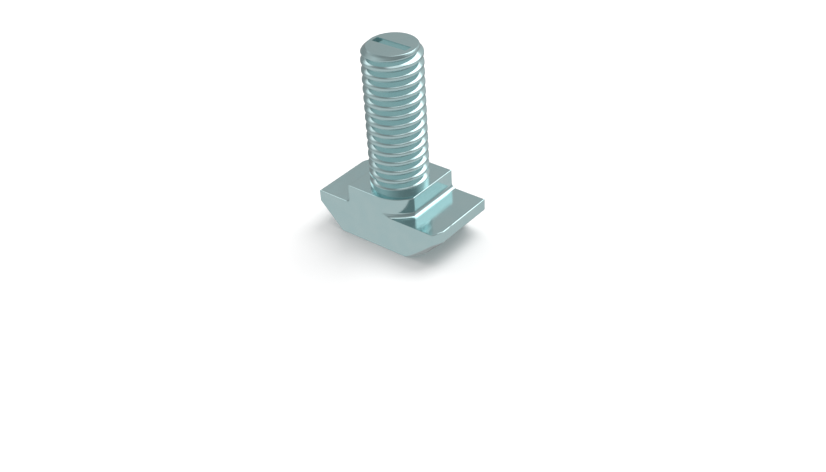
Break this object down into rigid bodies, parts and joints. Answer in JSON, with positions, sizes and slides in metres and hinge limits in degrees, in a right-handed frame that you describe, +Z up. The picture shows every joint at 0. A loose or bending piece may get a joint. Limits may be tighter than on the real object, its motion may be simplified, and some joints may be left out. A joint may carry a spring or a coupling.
{
  "type": "t slot bolt",
  "caption": "Hammer-head bolt for the slot of an aluminium profile: long bevelled head, square neck and threaded shank.",
  "frame": {"origin": "centre of the head's flat underside, on the shank's axis", "axes": "+Z up the shank to the threaded end, +X along the hammer head"},
  "size_m": [0.0148, 0.008, 0.0204],
  "materials": {
    "t_slot_bolt": "glossy zinc plating with a pale blue-green tint"
  },
  "bodies": {
    "root": {"t_slot_bolt": "t_slot_bolt"}
  },
  "joints": []
}
